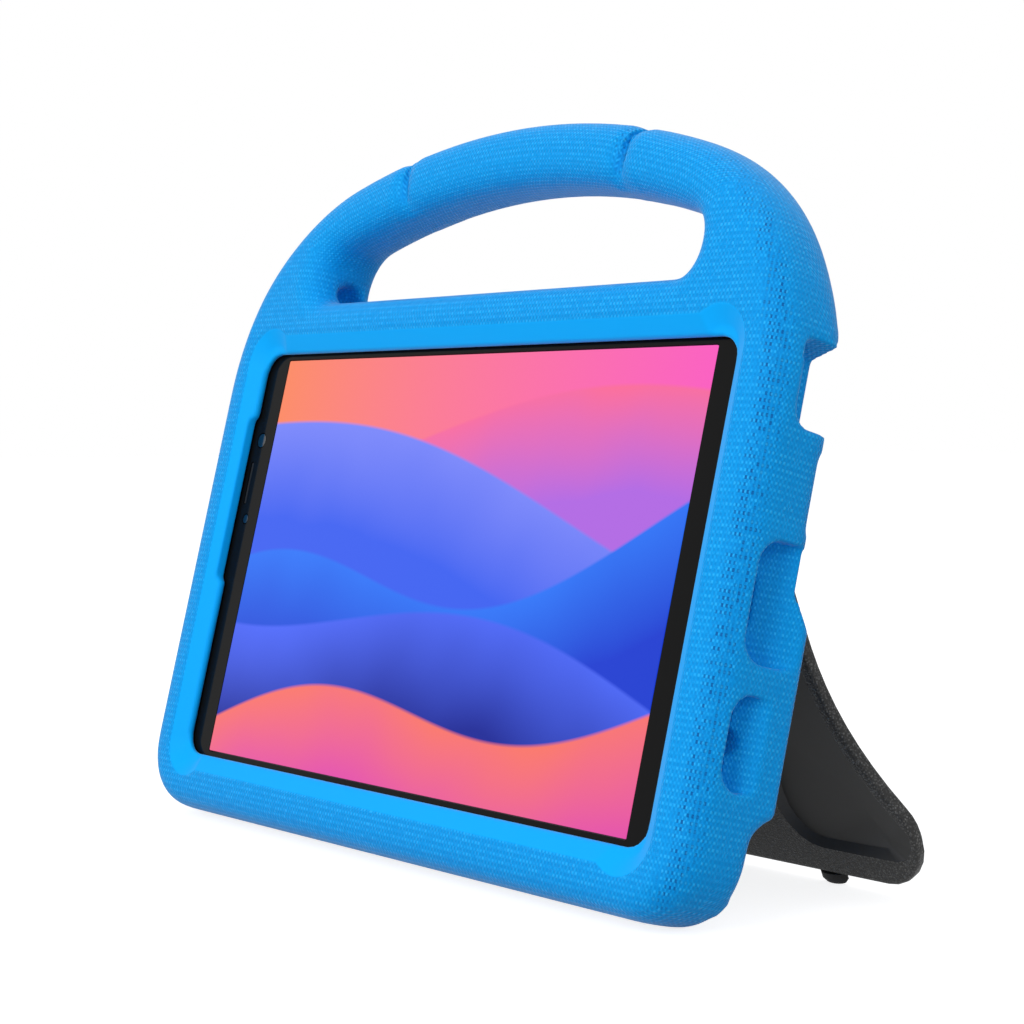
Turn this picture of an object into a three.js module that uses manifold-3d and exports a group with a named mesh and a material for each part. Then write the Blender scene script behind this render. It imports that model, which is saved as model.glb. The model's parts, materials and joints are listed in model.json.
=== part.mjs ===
// Soft foam tablet case with an arched carry handle, an eight inch tablet resting in its
// pocket, and a black fold-out leg hinged on its back.
// Millimetres, +Z up, floor at z = 0, the screen looks towards -Y.
import * as THREE from 'three';
import { ConvexGeometry } from 'three/addons/geometries/ConvexGeometry.js';
import { mergeVertices } from 'three/addons/utils/BufferGeometryUtils.js';
import Module from 'manifold-3d';

const wasm = await Module();
wasm.setup();

// Driving sizes, measured in the frame of the case: X across, Y back, Z up along the screen,
// with the origin in the middle of the tablet's front glass.
const TABLET_W = 201.5;          // tablet width
const TABLET_H = 122.4;          // tablet height
const TABLET_T = 8.9;            // tablet thickness
const TABLET_R = 9;              // tablet corner radius
const BEZEL_X = 14.6;            // dark border left and right of the lit area
const BEZEL_Z = 7.35;            // dark border above and below it
const GLASS_T = 0.9;             // front glass thickness
const FIT = 0.3;                 // clearance between separate pieces

const WALL_SIDE = 9.2;           // foam beside the tablet's short ends
const WALL_BASE = 8.7;           // foam under the tablet
const BAR_TOP = 8.4;             // foam bar over the tablet, below the handle opening
const LIP_H = 2.1;               // height of the lip over the glass
const FRONT_H = 5;               // front face ahead of the glass
const LIP_LAP_X = 5.75;          // lip over the short edges of the tablet
const LIP_LAP_Z = 5.9;           // lip over the long edges
const CHAMFER_W = 5;             // width of the sloped band round the window
const BACK_T = 4.9;              // foam behind the tablet
const EDGE_R = 6.2;              // rounding of all outer foam edges
const EDGE_DEEP = 7.5;           // depth of that rounding, front to back
const GRIP_DEEP = 10.5;          // depth of the rounding at the rear of the handle
const EDGE_STEPS = 5;            // steps in that rounding
const FOOT_R = 17;               // bottom corner radius
const ARCH_RISE = 42.6;          // handle top above the foam bar
const ARCH_R = 230;              // radius of the handle's crown
const SHOULDER_Z = 44.5;         // height where the sides start to curve in
const ARCH_DEEP = 3.4;           // handle stands this much behind the back
const GRIP_T = 16.4;             // thickness of the handle bar
const HOLE_R = 230;              // radius of the upper edge of the handle opening
const HOLE_SIDE = 34.35;         // foam beside the handle opening
const HOLE_FOOT_R = 6;           // its bottom corners
const HOLE_TOP_R = 9;            // its top corners
const GRIP_IN = 31.6;            // creases of the grip in from the ends of the opening
const CREASE_W = 1.8;            // width of a crease
const CREASE_DEEP = 1.5;         // its depth
const PAD_DEEP = 5.1;            // side pads behind the back
const ARCH_BACK = 1.6;           // grip set back from the front face
const ARCH_SPREAD = 0.008;       // share by which the arch widens from front to rear
const LEAN = 14;                 // degrees the case leans back
const LEG_OPEN = 36.2;           // degrees between the back and the opened leg
const LEG_T = 3.2;               // leg plate thickness
const LEG_EDGE_R = 1;            // rounding of its edges
const LEG_OVER = 0.15;           // leg wider than the foam, each side at its foot
const LEG_WAIST_IN = 17.5;       // waist of the leg inside its foot, each side
const LEG_TOE_R = 12.5;          // lower corners of the leg
const LEG_SIDE_R = 9;            // rounding above them
const LEG_FLARE_H = 62;          // height over which the leg narrows to its waist
const LEG_FLARE_POWER = 2.3;     // how fast it narrows
const LEG_TOP_R = 10;            // upper corners of the leg
const LEG_TOP_CLEAR = 6;         // leg ends this much below the hinge axis
const KNUCKLE_R = 3;             // hinge barrel radius
const BARREL_HALF = 20;          // half length of the middle barrel
const BARREL_END = 58;           // outer ends of the leg's barrels from the middle
const BARREL_GAP = 0.5;          // gap between barrels
const NECK_T = 2.6;              // web that joins a barrel to its plate
const NECK_H = 8;                // height of that web
const PIN_R = 1.4;               // hinge pin radius
const PIN_OVER = 1.5;            // pin past the barrels, each end
const PIN_FIT = 0.2;             // clearance round the pin and the pegs
const HINGE_Z = 20;              // hinge axis above the screen's middle
const FOOT_PEG_R = 4;            // half width of the pegs under the leg
const FOOT_PEG_FLAT = 0.42;      // their thickness as a share of their width
const FOOT_PEG_EDGE = 0.9;       // bevel at their lower ends
const FOOT_PEG_H = 2.8;          // length of the pegs below the leg
const FOOT_PEG_IN = 30.9;        // pegs in from the side of the leg
const SPIGOT_R = 0.9;            // part of a peg that sits in the leg
const SPIGOT_L = 4.6;            // its length
const PANEL_RIM = 2.7;           // rim beside the sunk panel of the leg
const PANEL_FOOT = 6.8;          // rim below that panel
const PANEL_TIP = 1;             // rim at its outer lower corners
const PANEL_TIP_R = 6.2;         // radius of those corners
const PANEL_FLOOR_R = 2.4;       // radius of the same corners of the panel's floor
const PANEL_IN = 42;             // its lower parts reach this far in from the leg's side
const PANEL_HIGH = 36;           // its lower edge between those parts, above the leg's edge
const PANEL_BEND = 12;           // radius of the bends of that edge
const PANEL_TOP = 5.1;           // panel ends this much below the hinge axis
const PANEL_DEEP = 1.8;          // depth of the panel
const PANEL_SLOPE = 8;           // width of its sloped outer sides
const PANEL_STEEP = 1.8;         // width of its steep other walls
const PLATE_HALF = 62;           // half length of the hinge plate on the back
const PLATE_H = 18;              // its height
const PLATE_T = 2;               // its thickness
const PLATE_R = 3;               // its corner radius
const RIVET_IN = 10;             // outer rivets in from the ends of the hinge plate
const RIVET_UP = 12;             // rivets above the hinge axis
const RIVET_R = 1.8;             // rivet shank radius
const HEAD_R = 3.3;              // rivet head radius
const HEAD_T = 1;                // rivet head thickness
const STRAP_H = 12;              // height of the plate inside the pocket
const STRAP_T = 1.2;             // its thickness
const CHARGE_Z = -0.3;           // charging socket, from the middle of the side
const CHARGE_HALF = 13.1;        // half height of the scoop round it
const CHARGE_BACK = 17;          // rear end of that scoop
const AUDIO_Z = -30.1;           // headphone socket
const AUDIO_HALF = 10.2;
const AUDIO_BACK = 11.6;
const PEN_LOW = 37;              // slot for a pen in the right wall
const PEN_HIGH = 57;
const PEN_FRONT = 3.6;
const PEN_FLARE = 3.5;           // ceiling of the slot drops by this towards the inside
const KEY_T = 2.4;               // thickness of both keys
const KEY_H = 1.7;               // height of both keys
const VOLUME_IN = 30.7;          // middle of the volume key in from the tablet's left end
const VOLUME_L = 20;
const POWER_L = 10;
const KEY_STEP = 21;             // from the middle of one key to the middle of the other
const REAR_CAM_IN = 16.7;        // rear camera in from the tablet's left end
const REAR_CAM_DOWN = 17.2;      // and down from its upper edge
const REAR_CAM_R = 5.5;
const SOCKET_DEEP = 7.3;         // depth of both sockets

// Sizes that follow from the ones above.
const screenW = TABLET_W - 2 * BEZEL_X;
const screenH = TABLET_H - 2 * BEZEL_Z;
const halfW = TABLET_W / 2 + WALL_SIDE + FIT;
const baseZ = -(TABLET_H / 2 + WALL_BASE + FIT);
const holeZ = TABLET_H / 2 + BAR_TOP + FIT;
const topZ = holeZ + ARCH_RISE;
const holeHalf = halfW - HOLE_SIDE;
const frontY = -FRONT_H;
const floorY = TABLET_T + FIT;
const backY = floorY + BACK_T;
const deepY = backY + ARCH_DEEP;
const padY = backY + PAD_DEEP;
const pocketW = TABLET_W / 2 + FIT;
const pocketH = TABLET_H / 2 + FIT;
const winX = TABLET_W / 2 - LIP_LAP_X;
const winZ = TABLET_H / 2 - LIP_LAP_Z;
const bandX = winX + CHAMFER_W;
const bandZ = winZ + CHAMFER_W;
const hingeY = backY + 0.4 + KNUCKLE_R;
const legWide = halfW + LEG_OVER;
const legWaist = legWide - LEG_WAIST_IN;
const pegX = legWide - FOOT_PEG_IN;
const portY = TABLET_T / 2 + 0.2;        // sockets at mid thickness
const keyY = TABLET_T / 2 + 0.3;         // keys too
const volumeX = VOLUME_IN - TABLET_W / 2;
const powerX = volumeX + KEY_STEP;
const rearCamX = REAR_CAM_IN - TABLET_W / 2;
const rearCamZ = TABLET_H / 2 - REAR_CAM_DOWN;
const socketIn = TABLET_W / 2 - SOCKET_DEEP;
const rivetX = PLATE_HALF - RIVET_IN;
const rivetZ = HINGE_Z + RIVET_UP;
const rivetHole = RIVET_R + FIT;
const rivetShares = [-1, -0.33, 0.33, 1];
const rad = THREE.MathUtils.degToRad;

// Solid helpers.
function solid(geometry) {
  const g = geometry.clone();
  g.deleteAttribute('normal');
  g.deleteAttribute('uv');
  const m = mergeVertices(g, 1e-4);
  const mesh = new wasm.Mesh({
    numProp: 3,
    vertProperties: new Float32Array(m.attributes.position.array),
    triVerts: new Uint32Array(m.index.array),
  });
  return new wasm.Manifold(mesh);
}

function geometryOf(manifold) {
  const mesh = manifold.getMesh();
  const g = new THREE.BufferGeometry();
  const flat = new Float32Array(mesh.numVert * 3);
  for (let i = 0; i < mesh.numVert; i += 1) {
    for (let k = 0; k < 3; k += 1) {
      flat[3 * i + k] = mesh.vertProperties[mesh.numProp * i + k];
    }
  }
  g.setAttribute('position', new THREE.BufferAttribute(flat, 3));
  g.setIndex(new THREE.BufferAttribute(new Uint32Array(mesh.triVerts), 1));
  return g;
}

// A front-view outline made solid from y0 to y1, with both rims rounded by r.
function slab(shape, y0, y1, r = 0, steps = 3, deep = r) {
  const g = new THREE.ExtrudeGeometry(shape, {
    depth: y1 - y0 - 2 * deep,
    bevelEnabled: r > 0,
    bevelThickness: deep,
    bevelSize: r,
    bevelOffset: -r,
    bevelSegments: steps,
  });
  g.translate(0, 0, deep - y1);
  g.rotateX(Math.PI / 2);
  return g;
}

// A side-view outline (y, z) made solid from x0 to x1, with both rims rounded by r.
function prism(points, x0, x1, r = 0) {
  const shape = new THREE.Shape(points.map(([y, z]) => new THREE.Vector2(y, z)));
  const g = new THREE.ExtrudeGeometry(shape, {
    depth: x1 - x0 - 2 * r,
    bevelEnabled: r > 0,
    bevelThickness: r,
    bevelSize: r,
    bevelOffset: -r,
    bevelSegments: 3,
  });
  g.translate(0, 0, r);
  const turn = new THREE.Matrix4().makeBasis(
    new THREE.Vector3(0, 1, 0),
    new THREE.Vector3(0, 0, 1),
    new THREE.Vector3(1, 0, 0),
  );
  g.applyMatrix4(turn);
  g.translate(x0, 0, 0);
  return g;
}

// A top-view outline (x, y) made solid from z0 to z1.
function column(points, z0, z1) {
  const shape = new THREE.Shape(points.map(([x, y]) => new THREE.Vector2(x, y)));
  const g = new THREE.ExtrudeGeometry(shape, { depth: z1 - z0, bevelEnabled: false });
  g.translate(0, 0, z0);
  return g;
}

function roundedRect(w, h, r, cx = 0, cz = 0, n = 6) {
  const pts = [];
  const corners = [[1, -1, -90], [1, 1, 0], [-1, 1, 90], [-1, -1, 180]];
  for (const [sx, sz, start] of corners) {
    for (let i = 0; i <= n; i += 1) {
      const a = rad(start + (90 * i) / n);
      const x = cx + sx * (w / 2 - r) + r * Math.cos(a);
      const z = cz + sz * (h / 2 - r) + r * Math.sin(a);
      pts.push(new THREE.Vector2(x, z));
    }
  }
  return new THREE.Shape(pts);
}

function barX(r, x0, x1, y, z, n = 20) {
  const g = new THREE.CylinderGeometry(r, r, x1 - x0, n);
  g.rotateZ(Math.PI / 2);
  g.translate((x0 + x1) / 2, y, z);
  return g;
}

// Points along an arc, angles in degrees.
function arc(cx, cz, r, a0, a1, n) {
  const pts = [];
  for (let i = 0; i <= n; i += 1) {
    const a = rad(a0 + ((a1 - a0) * i) / n);
    pts.push([cx + r * Math.cos(a), cz + r * Math.sin(a)]);
  }
  return pts;
}

function mirrored(half) {
  const other = half.map(([x, z]) => [-x, z]).reverse();
  const all = [...half, ...other];
  const kept = all.filter(([x, z], i) => {
    const [px, pz] = all[(i + all.length - 1) % all.length];
    return Math.hypot(x - px, z - pz) > 0.05;
  });
  return kept.map(([x, z]) => new THREE.Vector2(x, z));
}

// Outer outline of the foam: straight foot, upright sides, shoulders and a flat crown.
function bodyOutline() {
  const crownZ = topZ - ARCH_R;
  const a = halfW ** 2 - ARCH_R ** 2 + (SHOULDER_Z - crownZ) ** 2;
  const shoulderR = a / (2 * (halfW - ARCH_R));
  const sx = halfW - shoulderR;
  const meet = THREE.MathUtils.radToDeg(Math.atan2(SHOULDER_Z - crownZ, sx));
  const half = [
    [0, baseZ],
    ...arc(halfW - FOOT_R, baseZ + FOOT_R, FOOT_R, -90, 0, 10),
    ...arc(sx, SHOULDER_Z, shoulderR, 0, meet, 16),
    ...arc(0, crownZ, ARCH_R, meet, 90, 10),
  ];
  return new THREE.Shape(mirrored(half));
}

// The handle opening: flat sill, upright ends and a shallow arched upper edge.
function handleOpening() {
  const top = topZ - GRIP_T;
  const cz = top - HOLE_R;
  const endZ = cz + Math.sqrt((HOLE_R - HOLE_TOP_R) ** 2 - (holeHalf - HOLE_TOP_R) ** 2);
  const meet = THREE.MathUtils.radToDeg(Math.asin((endZ - cz) / (HOLE_R - HOLE_TOP_R)));
  const half = [
    [0, holeZ],
    ...arc(holeHalf - HOLE_FOOT_R, holeZ + HOLE_FOOT_R, HOLE_FOOT_R, -90, 0, 5),
    ...arc(holeHalf - HOLE_TOP_R, endZ, HOLE_TOP_R, 0, meet, 6),
    ...arc(0, cz, HOLE_R, meet, 90, 10),
  ];
  return new THREE.Path(mirrored(half));
}

// Half outline of the leg, from the middle of its lower edge upwards; z = 0 at that edge.
function legHalf(length, grow = 0) {
  const wide = legWide + grow;
  const waist = legWaist + grow;
  const toe = LEG_TOE_R - grow;
  const pts = [[0, -grow]];
  pts.push(...arc(wide - LEG_TOE_R, toe, LEG_TOE_R, -90, 0, 6));
  pts.push(...arc(wide - LEG_SIDE_R, toe + 1.2, LEG_SIDE_R, 0, 42, 3));
  const [startX, startZ] = pts[pts.length - 1];
  const n = 9;
  for (let i = 1; i <= n; i += 1) {
    const t = i / n;
    const flare = (startX - waist) * (1 - t) ** LEG_FLARE_POWER;
    pts.push([waist + flare, startZ + t * (LEG_FLARE_H - startZ)]);
  }
  const top = length - LEG_TOP_CLEAR;
  pts.push(...arc(waist - LEG_TOP_R, top - LEG_TOP_R, LEG_TOP_R, 0, 90, 5));
  pts.push([0, top]);
  return pts;
}

// Sloped band round the window: one wide funnel and four corner funnels.
function windowFunnel() {
  const slope = CHAMFER_W / (FRONT_H - LIP_H);
  const ahead = 3;
  const points = [];
  const rings = [
    [winX, winZ, 6, -LIP_H],
    [bandX + slope * ahead, bandZ + slope * ahead, 9 + slope * ahead, frontY - ahead],
  ];
  for (const [hx, hz, r, y] of rings) {
    for (const p of roundedRect(2 * hx, 2 * hz, r, 0, 0, 6).getPoints()) {
      points.push(new THREE.Vector3(p.x, y, p.y));
    }
  }
  return solid(new ConvexGeometry(points));
}

function cornerFunnel(sx, sz) {
  const slope = CHAMFER_W / (FRONT_H - LIP_H);
  const cx = sx * (bandX - 10.3);
  const cz = sz * (bandZ - 8.3);
  const ahead = 3;
  const points = [];
  const n = 24;
  for (const [r, y] of [[10.4 - CHAMFER_W, -LIP_H], [10.4 + slope * ahead, frontY - ahead]]) {
    for (let i = 0; i < n; i += 1) {
      const a = (2 * Math.PI * i) / n;
      points.push(new THREE.Vector3(cx + r * Math.cos(a), y, cz + r * Math.sin(a)));
    }
  }
  return solid(new ConvexGeometry(points));
}

// The slot cutter, with a ceiling that rises from the inside of the wall to its outside.
function flaredSlot(outline) {
  const g = prism(outline, pocketW - 0.1, halfW + 9);
  const p = g.attributes.position;
  for (let i = 0; i < p.count; i += 1) {
    const upper = p.getZ(i) > (PEN_LOW + PEN_HIGH) / 2;
    const rise = (PEN_FLARE * (p.getX(i) - halfW)) / WALL_SIDE;
    if (upper) p.setZ(i, p.getZ(i) + rise);
  }
  return solid(g);
}

// Finger scoop in the right wall, deep in front and running out towards the back.
function scoop(zMid, half, yFront, yEnd, corner) {
  const floorX = halfW - 7;
  const section = [
    [halfW + 8, yFront],
    [floorX + 2.5, yFront],
    ...arc(floorX + 2.5, yFront + 2.5, 2.5, 240, 180, 3),
    [floorX + 0.5, yFront + (yEnd - yFront) * 0.35],
    [floorX + 2.6, yFront + (yEnd - yFront) * 0.55],
    [floorX + 5.2, yFront + (yEnd - yFront) * 0.75],
    [halfW, yEnd],
    [halfW + 8, yEnd + 9],
  ];
  const zone = [];
  const y1 = yEnd + 3;
  const rear = corner + 2;
  zone.push(...arc(yFront + corner, zMid + half - corner, corner, 180, 90, 6));
  zone.push(...arc(y1 - rear, zMid + half - rear, rear, 90, 0, 4));
  zone.push(...arc(y1 - rear, zMid - half + rear, rear, 0, -90, 4));
  zone.push(...arc(yFront + corner, zMid - half + corner, corner, -90, -180, 6));
  const across = solid(column(section, zMid - half - 2, zMid + half + 2));
  return across.intersect(solid(prism(zone.reverse(), floorX - 4, halfW + 6)));
}

// A stadium outline in the side view (y, z).
function stadium(y, z, w, h, n = 5) {
  const r = Math.min(w, h) / 2;
  const dy = w / 2 - r;
  const dz = h / 2 - r;
  return [
    ...arc(y + dy, z + dz, r, 0, 90, n),
    ...arc(y - dy, z + dz, r, 90, 180, n),
    ...arc(y - dy, z - dz, r, 180, 270, n),
    ...arc(y + dy, z - dz, r, 270, 360, n),
  ].filter(([py, pz], i, all) => {
    const [qy, qz] = all[(i + all.length - 1) % all.length];
    return Math.hypot(py - qy, pz - qz) > 0.01;
  });
}

// The leg hangs from the hinge; its length lets the pegs stand on the floor.
const drop = (y, z) => z * Math.cos(rad(LEAN)) - y * Math.sin(rad(LEAN));
const along = (y, z) => y * Math.cos(rad(LEAN)) + z * Math.sin(rad(LEAN));
// The case stands on the rounded rear edge of its underside.
const roundDrop = Math.hypot(EDGE_DEEP * Math.sin(rad(LEAN)), EDGE_R * Math.cos(rad(LEAN)));
const floorDrop = drop(deepY - EDGE_DEEP, baseZ + EDGE_R) - roundDrop;
const legLean = LEG_OPEN - LEAN;
const hingeHigh = drop(hingeY, HINGE_Z) - floorDrop;
const tipLow = (FOOT_PEG_R - FOOT_PEG_EDGE) * FOOT_PEG_FLAT * Math.sin(rad(legLean));
const legLength = (hingeHigh - tipLow) / Math.cos(rad(legLean)) - FOOT_PEG_H;

// The arch stands back a little in front, and its rear is softer and a little wider.
function sweepArch(g) {
  const p = g.attributes.position;
  for (let i = 0; i < p.count; i += 1) {
    const t = THREE.MathUtils.smoothstep(p.getZ(i), holeZ - 2, topZ - 6);
    const soft = THREE.MathUtils.smoothstep(p.getZ(i), holeZ - 12, holeZ + 6);
    const deep = THREE.MathUtils.lerp(EDGE_DEEP, GRIP_DEEP, soft);
    const fromRear = deepY - p.getY(i);
    const rear = fromRear < EDGE_DEEP + 0.01;
    const y = rear ? deepY - (fromRear * deep) / EDGE_DEEP : p.getY(i);
    const w = (y - frontY) / (deepY - frontY);
    const spread = 1 + ARCH_SPREAD * t * w;
    const back = y + t * ARCH_BACK * (1 - w);
    p.setXYZ(i, p.getX(i) * spread, back, holeZ + (p.getZ(i) - holeZ) * spread);
  }
  return g;
}

function foamCase() {
  const outline = bodyOutline();
  outline.holes.push(handleOpening());
  let body = solid(sweepArch(slab(outline, frontY, deepY, EDGE_R, EDGE_STEPS, EDGE_DEEP)));
  // Back of the tablet zone, lower than the back of the handle.
  const behind = [
    [backY, baseZ - 20],
    [backY + 40, baseZ - 20],
    [backY + 40, holeZ - 7],
    [deepY + 1, holeZ - 7],
    [backY, holeZ - 13],
  ];
  body = body.subtract(solid(prism(behind, -halfW - 20, halfW + 20)));
  // Pads on both sides of the folded leg.
  const legEdge = legHalf(legLength, 1.2).filter(([, z]) => z > 18 && z < 72);
  const lowZ = HINGE_Z - legLength;
  const inner = legEdge.map(([x, z]) => [x, z + lowZ]);
  const padTop = 3;
  const padFoot = -48.5;
  const widest = halfW - 1.2;
  const edge = inner.filter(([x, z]) => z < padTop - 1 && z > padFoot - 3 && x < widest);
  const padProfile = [
    [backY - 5, padFoot],
    [backY, padFoot],
    [padY, padFoot + 5],
    [padY, padTop - 7],
    [backY, padTop],
    [backY - 5, padTop],
  ];
  const profile = solid(prism(padProfile, -halfW, halfW, 1.8));
  for (const side of [1, -1]) {
    const ring = [
      [halfW, padFoot - 4],
      [halfW, padTop + 4],
      [edge[edge.length - 1][0], padTop + 4],
      ...edge.slice().reverse(),
      [widest, edge[0][1] - 3],
      [widest, padFoot - 4],
    ];
    const shape = new THREE.Shape(ring.map(([x, z]) => new THREE.Vector2(side * x, z)));
    body = body.add(solid(slab(shape, backY - 8, padY + 2)).intersect(profile));
  }
  // Pocket for the tablet and the window over its glass.
  const pocket = roundedRect(2 * pocketW, 2 * pocketH, TABLET_R + FIT);
  body = body.subtract(solid(slab(pocket, -FIT, floorY)));
  body = body.subtract(solid(slab(roundedRect(2 * winX, 2 * winZ, 6), -LIP_H - 1, 0.5)));
  body = body.subtract(windowFunnel());
  for (const sx of [1, -1]) {
    for (const sz of [1, -1]) body = body.subtract(cornerFunnel(sx, sz));
  }
  // Shallow relief in the left lip beside the front camera.
  const relief = new THREE.Shape([
    new THREE.Vector2(-winX + 2, -10.5),
    new THREE.Vector2(-winX + 2, 40),
    new THREE.Vector2(-winX - 1.6, 36.6),
    new THREE.Vector2(-winX - 1.6, -7.2),
  ].reverse());
  body = body.subtract(solid(slab(relief, -LIP_H - 1.2, 0.6)));
  // Right wall: pen slot open to the back, charging scoop, headphone scoop.
  const penSlot = [
    [deepY + 9, PEN_LOW],
    [deepY + 9, PEN_HIGH],
    ...arc(PEN_FRONT + 3, PEN_HIGH - 3, 3, 90, 180, 4),
    ...arc(PEN_FRONT + 4.5, PEN_LOW + 4.5, 4.5, 180, 270, 5),
  ];
  body = body.subtract(flaredSlot(penSlot));
  body = body.subtract(scoop(CHARGE_Z, CHARGE_HALF, 1.2, CHARGE_BACK, 6));
  body = body.subtract(scoop(AUDIO_Z, AUDIO_HALF, 1.4, AUDIO_BACK, 5.5));
  const charge = stadium(portY, CHARGE_Z, 5, 12.5, 4);
  body = body.subtract(solid(prism(charge, pocketW - 1, halfW - 3)));
  const audio = stadium(portY, AUDIO_Z, 6, 7, 4);
  body = body.subtract(solid(prism(audio, pocketW - 1, halfW - 3)));
  // Trough for the keys on the upper edge, reaching into the left end of the opening.
  const trough = new THREE.CapsuleGeometry(5.3, 40, 4, 16);
  trough.rotateZ(Math.PI / 2);
  trough.translate(-(holeHalf - 17.9), portY + 4.4, holeZ + 2);
  body = body.subtract(solid(trough));
  const keyWell = roundedRect(48, 12, 1.5, (volumeX + powerX) / 2 - 1.5, pocketH + 2, 2);
  body = body.subtract(solid(slab(keyWell, keyY - KEY_T / 2 - 1.4, keyY + KEY_T / 2 + 1.4)));
  // Rear camera opening.
  const lensHole = new THREE.CylinderGeometry(REAR_CAM_R + 5.5, REAR_CAM_R + 2, BACK_T + 3, 28);
  lensHole.translate(rearCamX, floorY + BACK_T / 2, rearCamZ);
  body = body.subtract(solid(lensHole));
  // Seat of the inner plate and the holes of its rivets.
  const seat = roundedRect(
    2 * rivetX + STRAP_H + 2.6, STRAP_H + 0.6, PLATE_R + FIT, 0, rivetZ, 4);
  body = body.subtract(solid(slab(seat, floorY - 1, floorY + 0.1 + STRAP_T + FIT)));
  for (const sx of rivetShares) {
    const hole = new THREE.CylinderGeometry(rivetHole, rivetHole, BACK_T + 2, 16);
    hole.translate(sx * rivetX, floorY + BACK_T / 2, rivetZ);
    body = body.subtract(solid(hole));
  }
  // Creases that mark off the grip, over the front and the top of the handle only.
  const core = bodyInset(CREASE_DEEP);
  for (const side of [1, -1]) {
    const blade = new THREE.BoxGeometry(CREASE_W, 14, GRIP_T + 5);
    blade.rotateY(rad(side * 10));
    blade.translate(side * (holeHalf - GRIP_IN), frontY + 8.2, topZ - 9.5);
    body = body.subtract(solid(blade).subtract(core));
  }
  return body;
}

// The foam outline drawn in by a little, used to give the creases an even depth.
function bodyInset(d) {
  const outline = bodyOutline();
  const g = sweepArch(slab(outline, frontY + d, deepY - d, EDGE_R, EDGE_STEPS, EDGE_DEEP));
  g.scale((halfW - d) / halfW, 1, (topZ - d) / topZ);
  return solid(g);
}

function material(color, roughness, metalness = 0) {
  return new THREE.MeshStandardMaterial({ color, roughness, metalness });
}

const foam = () => material(0x0aa0ff, 0.62);
const blackPlastic = () => material(0x26262a, 0.6);
const blackRubber = () => material(0x1d1d1f, 0.8);
const blackGlass = () => material(0x161617, 0.12);
const darkMetal = () => material(0x3a3c40, 0.4, 0.7);
const steel = () => material(0xa9adb2, 0.32, 1);
const screen = () => material(0x2a55d8, 0.25);

function node(parent, name, shape, mat) {
  const geometry = shape.isBufferGeometry ? shape : geometryOf(shape);
  const mesh = new THREE.Mesh(geometry, mat);
  mesh.name = name;
  parent.add(mesh);
  return mesh;
}

const root = new THREE.Group();
const leaning = new THREE.Group();
leaning.rotation.x = -rad(LEAN);
root.add(leaning);

// The front of the whole object is the lowest front edge, its back is the foot of the leg.
const frontLow = along(frontY + EDGE_R, baseZ) - EDGE_R;
const tipY = along(hingeY, HINGE_Z)
  + (legLength + FOOT_PEG_H) * Math.sin(rad(legLean)) + 4;
const shiftY = -(frontLow + tipY) / 2;
leaning.position.set(0, shiftY, -floorDrop);

node(leaning, 'foam_case', foamCase(), foam());

// Tablet.
function tabletHousing() {
  const outline = roundedRect(TABLET_W, TABLET_H, TABLET_R);
  let body = solid(slab(outline, GLASS_T + FIT - 2.4, TABLET_T, 2.4, 4));
  const flat = new THREE.BoxGeometry(TABLET_W + 20, 20, TABLET_H + 20);
  flat.translate(0, GLASS_T + FIT - 10, 0);
  body = body.subtract(solid(flat));
  body = body.subtract(solid(prism(stadium(portY, CHARGE_Z, 3.8, 9.8), socketIn - 0.4, halfW)));
  body = body.subtract(solid(prism(stadium(portY, AUDIO_Z, 5.6, 5.6, 6), socketIn - 0.4, halfW)));
  for (const [x, l] of [[volumeX, VOLUME_L], [powerX, POWER_L]]) {
    const well = new THREE.BoxGeometry(l + 2 * FIT, KEY_T + 2 * FIT, 3);
    well.translate(x, keyY, TABLET_H / 2);
    body = body.subtract(solid(well));
  }
  const lens = new THREE.CylinderGeometry(REAR_CAM_R + FIT, REAR_CAM_R + FIT, 6, 28);
  lens.translate(rearCamX, TABLET_T, rearCamZ);
  return body.subtract(solid(lens));
}
node(leaning, 'tablet_housing', tabletHousing(), darkMetal());

const FRONT_CAM = [-(winX - 2.6), 31.5];
const FRONT_SENSOR = [-(winX - 2.6), 9.5];
const EAR_X = -(winX - 0.4);
const EAR_Z = 19.5;

function tabletGlass() {
  const outline = roundedRect(TABLET_W - 1, TABLET_H - 1, TABLET_R - 0.5);
  let body = solid(slab(outline, 0, GLASS_T, 0.2, 1));
  const cut = roundedRect(screenW + 2 * FIT, screenH + 2 * FIT, 0.4, 0, 0, 1);
  body = body.subtract(solid(slab(cut, -1, GLASS_T + 1)));
  for (const [[x, z], r] of [[FRONT_CAM, 1.9], [FRONT_SENSOR, 1.2]]) {
    const hole = new THREE.CylinderGeometry(r + FIT, r + FIT, 4, 20);
    hole.translate(x, 0, z);
    body = body.subtract(solid(hole));
  }
  const ear = roundedRect(1.4, 12, 0.65, EAR_X, EAR_Z, 3);
  return body.subtract(solid(slab(ear, -1, GLASS_T + 1)));
}
node(leaning, 'tablet_front_glass', tabletGlass(), blackGlass());
node(leaning, 'tablet_display', slab(
  roundedRect(screenW, screenH, 0.3, 0, 0, 1), 0.02, GLASS_T), screen());

function disc(x, z, r, y0, y1, n = 24) {
  const g = new THREE.CylinderGeometry(r, r, y1 - y0, n);
  g.translate(x, (y0 + y1) / 2, z);
  return g;
}
node(leaning, 'front_camera_lens', disc(...FRONT_CAM, 1.9, 0.05, GLASS_T), blackGlass());
node(leaning, 'front_light_sensor', disc(...FRONT_SENSOR, 1.2, 0.05, GLASS_T), blackGlass());
node(leaning, 'earpiece_mesh', slab(
  roundedRect(0.8, 11.4, 0.35, EAR_X, EAR_Z, 3), 0.15, GLASS_T), blackPlastic());

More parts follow.
